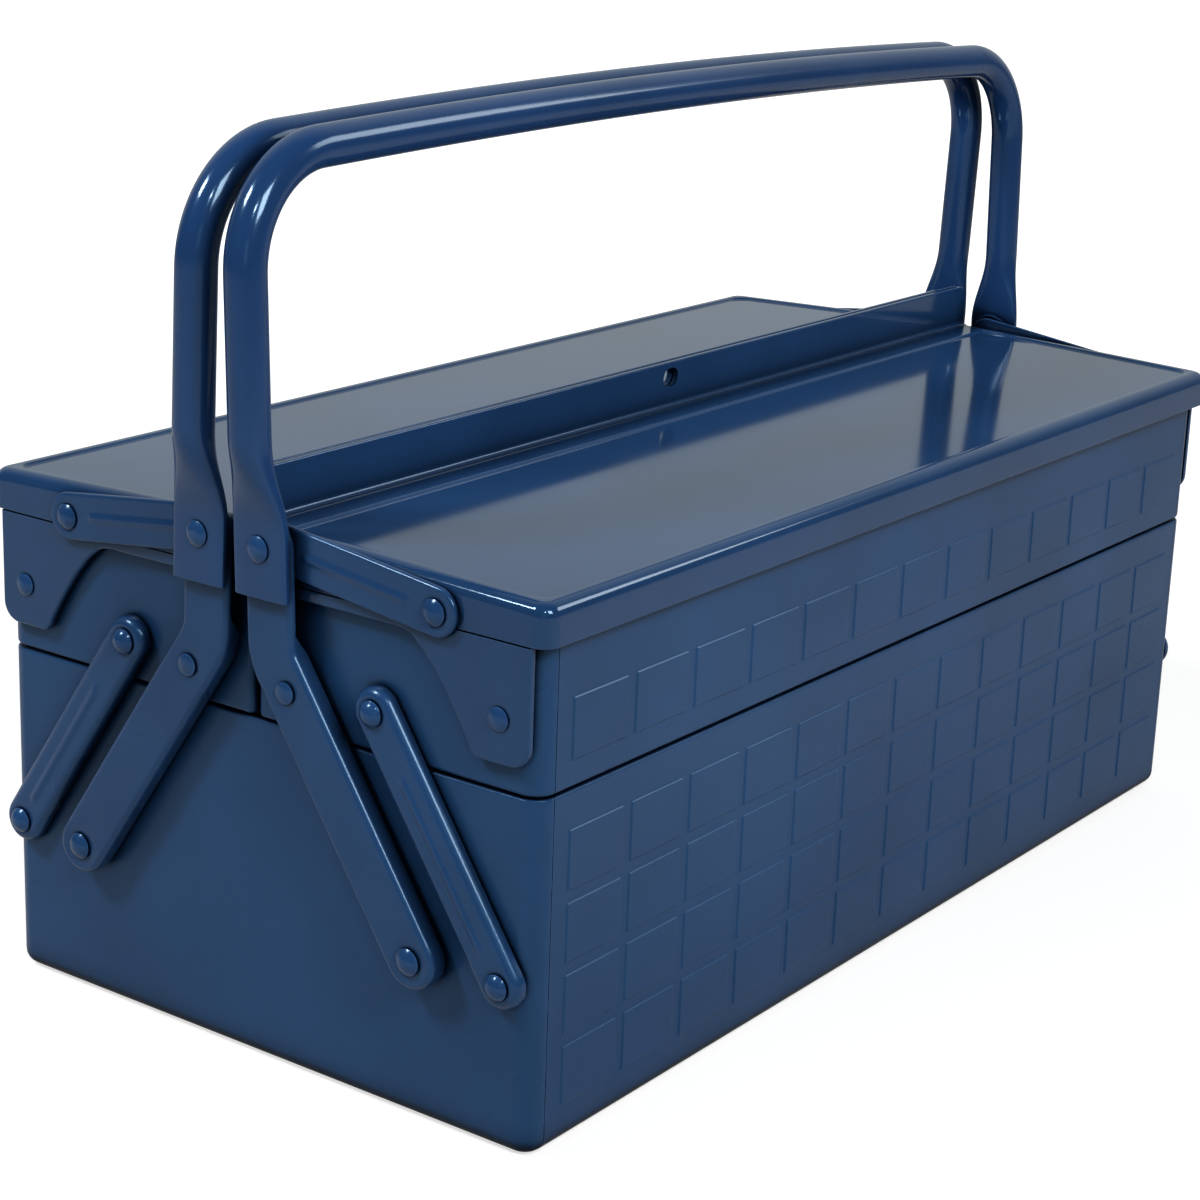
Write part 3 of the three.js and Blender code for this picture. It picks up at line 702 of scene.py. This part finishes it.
def handle():
    low, high = mm_box("front_handle")
    tube_x = -low[0] - TUBE_RADIUS
    flat_x = WALL + FLAT_OUT
    thin = FLAT_THICKNESS / 2
    grip_z = high[2] - TUBE_RADIUS
    bend_x = tube_x - HANDLE_BEND
    slope = math.atan(2 * GRIP_BOW / bend_x)
    reach = bend_x + HANDLE_BEND * math.sin(slope)
    bend_z = grip_z - GRIP_BOW - HANDLE_BEND * math.cos(slope)
    leg = []
    for t in quarter_turn(4):
        less = FLAT_EDGE * (1 - math.sin(t))
        leg.append((flat_x, low[2] + FLAT_EDGE - FLAT_EDGE * math.cos(t),
                    FLAT_HALF_WIDTH - less, thin - less, FLAT_POWER))
    leg += [(flat_x, z, FLAT_HALF_WIDTH, thin, FLAT_POWER)
            for z in spread(low[2] + 4, FLAT_TOP - 8, 6)]
    neck_steps = 18
    for step in range(neck_steps + 1):
        t = step / neck_steps
        swell = ease(t)
        leg.append((flat_x + (tube_x - flat_x) * swell,
                    FLAT_TOP - NECK_BELOW + (NECK_TOP - FLAT_TOP + NECK_BELOW) * t,
                    FLAT_HALF_WIDTH + (TUBE_RADIUS - FLAT_HALF_WIDTH) * ease(t * 1.05),
                    thin + (TUBE_RADIUS - thin) * swell,
                    FLAT_POWER + (1 - FLAT_POWER) * ease(t * 1.3)))
    half = [((x, z), (1, 0), across, thick, power) for x, z, across, thick, power in leg]
    half += [((tube_x, z), (1, 0), TUBE_RADIUS, TUBE_RADIUS, 1)
             for z in spread(NECK_TOP, bend_z, 12)[1:-1]]
    corner_steps = 24
    for step in range(corner_steps + 1):
        a = (math.pi / 2 - slope) * step / corner_steps
        out = (math.cos(a), math.sin(a))
        at = (bend_x + HANDLE_BEND * out[0], bend_z + HANDLE_BEND * out[1])
        half.append((at, out, TUBE_RADIUS, TUBE_RADIUS, 1))
    for x in spread(reach, 0, 12)[1:]:
        tilt = math.atan(2 * GRIP_BOW * x / reach ** 2)
        at = (x, grip_z - GRIP_BOW * (x / reach) ** 2)
        half.append((at, (math.sin(tilt), math.cos(tilt)), TUBE_RADIUS, TUBE_RADIUS, 1))
    mirrored = [((-at[0], at[1]), (-out[0], out[1]), across, thick, power)
                for at, out, across, thick, power in reversed(half[:-1])]
    rings = [handle_ring(*row) for row in half + mirrored]
    return tidy(skin(bmesh.new(), rings))


# ---- materials -----------------------------------------------------------------------
def node_of(tree, kind, inputs=None, **settings):
    """Adds a node. inputs are numbers to set or sockets to link from."""
    node = tree.nodes.new(kind)
    for key, value in settings.items():
        setattr(node, key, value)
    for key, value in (inputs or {}).items():
        if isinstance(value, bpy.types.NodeSocket):
            tree.links.new(value, node.inputs[key])
        else:
            node.inputs[key].default_value = value
    return node


def noise(tree, place, scale, detail, roughness=0.5):
    return node_of(tree, "ShaderNodeTexNoise", {
        "Vector": place, "Scale": scale, "Detail": detail, "Roughness": roughness,
    }).outputs["Fac"]


def math_of(tree, operation, a, b):
    return node_of(tree, "ShaderNodeMath", {0: a, 1: b}, operation=operation).outputs[0]


def remap(tree, value, low, high, to_low, to_high):
    return node_of(tree, "ShaderNodeMapRange", {
        "Value": value, "From Min": low, "From Max": high, "To Min": to_low, "To Max": to_high,
    }, interpolation_type="SMOOTHSTEP").outputs["Result"]


def mix(tree, factor, a, b):
    node = node_of(tree, "ShaderNodeMix", data_type="RGBA")
    for socket, value in ((node.inputs[0], factor), (node.inputs[6], a), (node.inputs[7], b)):
        if isinstance(value, bpy.types.NodeSocket):
            tree.links.new(value, socket)
        else:
            socket.default_value = value
    return node.outputs[2]


EDGE_REACH = 0.7         # how far from an edge the coat looks thin
SHADE_REACH = 14.0           # painted shade darkens the colour where another surface is nearer than this
# colour of the painted shade in gaps and crevices
SHADE_COLOUR = (0.0012, 0.0024, 0.006, 1)
TONES = (0.82, 1.18)     # darkest and lightest share of an enamel's colour
UNEVEN_GLOSS = 0.06      # how much rougher the dullest places are
SHINE_TINT = (0.35, 0.68, 1.0, 1)
# The scale of each noise, in cells per metre.
CLOUD = 14
SMEAR = 12
WEAR_PATCHES = 220
ORANGE_PEEL = 240
GRAIN = 900


def enamel(name, colour, gloss, peel, wear, coat):
    """Stoved enamel on steel: slight orange peel, uneven gloss and a thinner coat on the
    edges, with painted shade in the gaps: the colour darkens and the shine dulls where
    another surface is near. gloss is the roughness where it shines most, peel is the
    height of the orange peel in millimetres, wear is how far the edges are rubbed, and
    coat is the weight of the clear coat."""
    material = bpy.data.materials.new(name)
    material.use_nodes = True
    tree = material.node_tree
    shader = tree.nodes["Principled BSDF"]
    place = node_of(tree, "ShaderNodeTexCoord").outputs["Object"]
    cloud = noise(tree, place, CLOUD, 4)
    smear = noise(tree, place, SMEAR, 1)
    dark, light = [[c * share for c in colour] + [1] for share in TONES]
    tone = mix(tree, remap(tree, cloud, 0.2, 0.8, 0, 1), dark, light)

    rounded = node_of(tree, "ShaderNodeBevel", {"Radius": EDGE_REACH * MM}, samples=4)
    facing = node_of(tree, "ShaderNodeNewGeometry").outputs["Normal"]
    same = node_of(tree, "ShaderNodeVectorMath", {0: rounded.outputs["Normal"], 1: facing},
                   operation="DOT_PRODUCT").outputs["Value"]
    bent = math_of(tree, "SUBTRACT", 1.0, same)
    on_edge = remap(tree, bent, 0.015, 0.1, 0, 1)
    patchy = remap(tree, noise(tree, place, WEAR_PATCHES, 5, 0.7), 0.42, 0.6, 0.15, 1)
    worn = math_of(tree, "MULTIPLY", math_of(tree, "MULTIPLY", on_edge, patchy), wear)
    thin_coat = [min(c * 1.9 + 0.008, 1) for c in colour] + [1]
    clean = mix(tree, worn, tone, thin_coat)

    # Painted shade: ambient occlusion darkens the colour, and weakens the shine and the coat,
    # where another surface is near.
    hidden = node_of(tree, "ShaderNodeAmbientOcclusion", {"Distance": SHADE_REACH * MM}, samples=6)
    painted_shade = remap(tree, hidden.outputs["AO"], 0.38, 0.94, 0.97, 0)
    rise = math_of(tree, "ADD", noise(tree, place, ORANGE_PEEL, 2),
                   noise(tree, place, GRAIN, 3))
    bump = node_of(tree, "ShaderNodeBump", {
        "Height": rise, "Distance": peel * MM, "Strength": 1.0,
    })
    for socket, value in (
        # painted shade goes into the base colour, the specular level and the coat
        ("Base Color", mix(tree, painted_shade, clean, SHADE_COLOUR)),
        ("Roughness", remap(tree, smear, 0.1, 0.9, gloss, gloss + UNEVEN_GLOSS)),
        ("Specular IOR Level", remap(tree, painted_shade, 0, 1, 0.5, 0.05)),
        ("Coat Weight", remap(tree, painted_shade, 0, 1, coat, 0)),
        ("Normal", bump.outputs["Normal"]),
    ):
        tree.links.new(value, shader.inputs[socket])
    shader.inputs["IOR"].default_value = 1.45
    shader.inputs["Specular Tint"].default_value = SHINE_TINT
    shader.inputs["Coat Roughness"].default_value = 0.08
    return material


# The colour, gloss, peel, wear and coat of each material slot.
ENAMELS = {
    "body_enamel": ((0.011, 0.043, 0.120), 0.26, 0.014, 0.8, 0.06),
    "lid_enamel": ((0.010, 0.037, 0.105), 0.07, 0.004, 0.7, 0.25),
    "handle_enamel": ((0.0095, 0.035, 0.110), 0.14, 0.008, 0.5, 0.25),
    "link_enamel": ((0.011, 0.041, 0.118), 0.24, 0.014, 0.9, 0.15),
    "rivet_enamel": ((0.011, 0.043, 0.125), 0.18, 0.01, 1.0, 0.2),
}
MATERIALS = {name: enamel(name, *looks) for name, looks in ENAMELS.items()}


# ---- assembly ------------------------------------------------------------------------
def body_with(node):
    return next(body for body, nodes in frame["record"]["behaviour"]["bodies"].items()
                if node in nodes)


SLOTS = {row["node"]: row["material_slot"] for row in frame["record"]["subparts"]}


def place(node, bm, turned=False, sharp=42):
    """Makes the piece that stands for a CAD node. turned puts it on the rear half, and
    edges above sharp degrees are shaded as edges."""
    if turned:
        bmesh.ops.rotate(bm, verts=bm.verts, cent=(0, 0, 0),
                         matrix=Matrix.Rotation(math.pi, 3, "Z"))
    bmesh.ops.scale(bm, verts=bm.verts, vec=(MM, MM, MM))
    name = node + "_steel"
    mesh = mesh_from(name, bm)
    mesh.shade_smooth()
    mesh.set_sharp_from_angle(angle=math.radians(sharp))
    piece = add_object(name, mesh)
    piece.modifiers.new("flat_faces_stay_flat", "WEIGHTED_NORMAL").keep_sharp = True
    mesh.materials.append(MATERIALS[SLOTS[node]])
    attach(piece, body_with(node))
    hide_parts(node)


# Height and radius of each rivet's head, the depth of the dimple in its middle, and how
# far it stands proud.
RIVETS = {
    "arm_base_rivet": (2.0, 4.2, 0.0, 0.4),
    "arm_tray_rivet": (0.8, 3.4, 0.0, 0.0),
    "link_base_rivet": (2.3, 4.0, 0.0, 0.7),
    "link_tray_rivet": (2.5, 4.0, 0.0, 0.9),
    "lid_hinge_rivet": (1.3, 3.6, 0.0, 0.0),
    "handle_rivet": (1.6, 4.0, 0.15, 0.0),
    "lid_link_rivet": (1.8, 4.0, 0.0, 0.0),
}


def build_half(half):
    turned = half == "rear"
    place(f"{half}_tray", shell_of(tray_tub()), turned)
    place(f"{half}_lid", join(lid_pan(), ridge(), "UNION"), turned, sharp=34)
    place(f"{half}_handle", handle(), turned)
    for side, front_name, rear_name in ((-1, "left", "right"), (1, "right", "left")):
        end = f"{half}_{rear_name if turned else front_name}"
        place(f"{end}_tray_end", end_of(tray_tub(), side), turned)
        place(f"{end}_lid_end_plate", end_plate(side), turned)
        place(f"{end}_long_arm", long_arm(side), turned)
        place(f"{end}_short_link", short_link(side), turned)
        place(f"{end}_lid_link", lid_link(side), turned)
        for kind, sizes in RIVETS.items():
            place(f"{end}_{kind}", rivet(side, f"front_left_{kind}", *sizes), turned)


place("base_shell", shell_of(base_tub()))
place("base_left_end", end_of(base_tub(), -1))
place("base_right_end", end_of(base_tub(), 1))
build_half("front")
build_half("rear")


# ---- floor, light and camera ---------------------------------------------------------
FLOOR_HALF = 6.0         # metres
FLOOR_LEVEL = -0.0003    # just below the box, so that the two don't coincide
FLOOR_GLOW = 1.3
FLOOR_FADE = (0.35, 1.0)  # metres from the box over which the floor turns white
FLOOR_SEEN = (0.95, 0.95, 0.95, 1)
BLACK = (0, 0, 0, 1)
WHITE = (1, 1, 1, 1)


def pale_floor():
    """Matt paper, brightened for the camera so that little but the contact shadow shows."""
    material = bpy.data.materials.new("pale_floor")
    material.use_nodes = True
    tree = material.node_tree
    shader = tree.nodes["Principled BSDF"]
    seen = node_of(tree, "ShaderNodeLightPath").outputs["Is Camera Ray"]
    place = node_of(tree, "ShaderNodeTexCoord").outputs["Object"]
    fibre = remap(tree, noise(tree, place, 30, 5), 0.3, 0.7, 0.42, 0.46)
    pale = mix(tree, seen, mix(tree, fibre, BLACK, WHITE), FLOOR_SEEN)
    tree.links.new(pale, shader.inputs["Base Color"])
    shader.inputs["Roughness"].default_value = 0.9
    away = node_of(tree, "ShaderNodeVectorMath", {0: place},
                   operation="LENGTH").outputs["Value"]
    fade = remap(tree, away, *FLOOR_FADE, 0.5, 1.0)
    lift = math_of(tree, "MULTIPLY", seen, fade)
    glow = node_of(tree, "ShaderNodeEmission", {"Color": WHITE, "Strength": FLOOR_GLOW})
    both = node_of(tree, "ShaderNodeMixShader", {
        0: lift, 1: shader.outputs[0], 2: glow.outputs[0]})
    tree.links.new(both.outputs[0], tree.nodes["Material Output"].inputs["Surface"])
    return material


def floor():
    bm = bmesh.new()
    corners = ((-1, -1), (1, -1), (1, 1), (-1, 1))
    bm.faces.new([bm.verts.new((x * FLOOR_HALF, y * FLOOR_HALF, FLOOR_LEVEL))
                  for x, y in corners])
    mesh = mesh_from("floor", bm)
    mesh.materials.append(pale_floor())
    add_object("floor", mesh)


# Place in metres, width and height in metres, power in watts and colour of each light.
SOFTBOXES = {
    "key": ((-1.2, 0.8, 1.6), (0.4, 0.4), 30, (1, 1, 1)),
    "window": ((-1.3, -1.1, 1.5), (0.14, 0.14), 6, (1, 1, 1)),
    "side": ((1.35, -1.2, 1.25), (0.8, 0.6), 10, (1, 1, 1)),
    "front": ((-0.45, -1.0, 0.9), (0.4, 0.4), 11.5, (1, 1, 1)),
    "near": ((-1.5, -1.15, 0.55), (0.5, 0.5), 0.5, (0.7, 0.95, 1.0)),
}
LIGHTS_AIM = Vector((0, 0, 0.1))


def softbox(name, place_m, size, power, colour):
    light = bpy.data.lights.new(name, "AREA")
    light.shape = "RECTANGLE"
    light.size, light.size_y = size
    light.energy = power
    light.color = colour
    obj = add_object(name, light)
    obj.location = place_m
    obj.rotation_euler = (LIGHTS_AIM - Vector(place_m)).to_track_quat("-Z", "Y").to_euler()


BACKDROP_TOWARDS = (0.76, 0.6, 0.28)
BACKDROP_EDGE = (0.3, 0.84)  # cosines of the angles between which the backdrop fades in
BACKDROP_LIGHT = 0.5
ROOM_LIGHT = 0.04
ROOM_COLOUR = (0.92, 1, 1, 1)


def surroundings():
    """White for the camera. The enamel reflects a pale backdrop behind the box and a dim
    room everywhere else."""
    world = bpy.data.worlds.new("studio")
    bpy.context.scene.world = world
    world.use_nodes = True
    tree = world.node_tree
    tree.nodes.clear()
    seen = node_of(tree, "ShaderNodeLightPath").outputs["Is Camera Ray"]
    towards = node_of(tree, "ShaderNodeTexCoord").outputs["Generated"]
    behind = node_of(tree, "ShaderNodeVectorMath", {0: towards, 1: BACKDROP_TOWARDS},
                     operation="DOT_PRODUCT").outputs["Value"]
    strength = remap(tree, behind, *BACKDROP_EDGE, ROOM_LIGHT, BACKDROP_LIGHT)
    room = node_of(tree, "ShaderNodeBackground", {"Color": ROOM_COLOUR, "Strength": strength})
    white = node_of(tree, "ShaderNodeBackground", {"Color": WHITE, "Strength": 1.0})
    both = node_of(tree, "ShaderNodeMixShader", {
        0: seen, 1: room.outputs[0], 2: white.outputs[0]})
    node_of(tree, "ShaderNodeOutputWorld", {"Surface": both.outputs[0]})


# The camera's place is in metres, its angles in degrees and its lens in millimetres.
CAMERA_PLACE = (-0.7762, -0.5326, 0.3859)
CAMERA_AZIMUTH = -54.34
CAMERA_ELEVATION = 16.93
CAMERA_ROLL = 2.13
CAMERA_LENS = 82.9
CAMERA_SENSOR = 36


def camera():
    data = bpy.data.cameras.new("camera")
    data.lens = CAMERA_LENS
    data.sensor_width = CAMERA_SENSOR
    data.clip_start = 0.01
    obj = add_object("camera", data)
    azimuth, elevation, roll = [
        math.radians(a) for a in (CAMERA_AZIMUTH, CAMERA_ELEVATION, CAMERA_ROLL)]
    forward = Vector((-math.sin(azimuth) * math.cos(elevation),
                      math.cos(azimuth) * math.cos(elevation), -math.sin(elevation)))
    right = Vector((math.cos(azimuth), math.sin(azimuth), 0))
    up = right.cross(forward)
    x_axis = right * math.cos(roll) + up * math.sin(roll)
    y_axis = up * math.cos(roll) - right * math.sin(roll)
    turn = Matrix((x_axis, y_axis, -forward)).transposed().to_4x4()
    obj.matrix_world = Matrix.Translation(CAMERA_PLACE) @ turn
    bpy.context.scene.camera = obj


floor()
surroundings()
for light_name, light_looks in SOFTBOXES.items():
    softbox(light_name, *light_looks)
camera()
bpy.context.scene.view_settings.view_transform = "Standard"
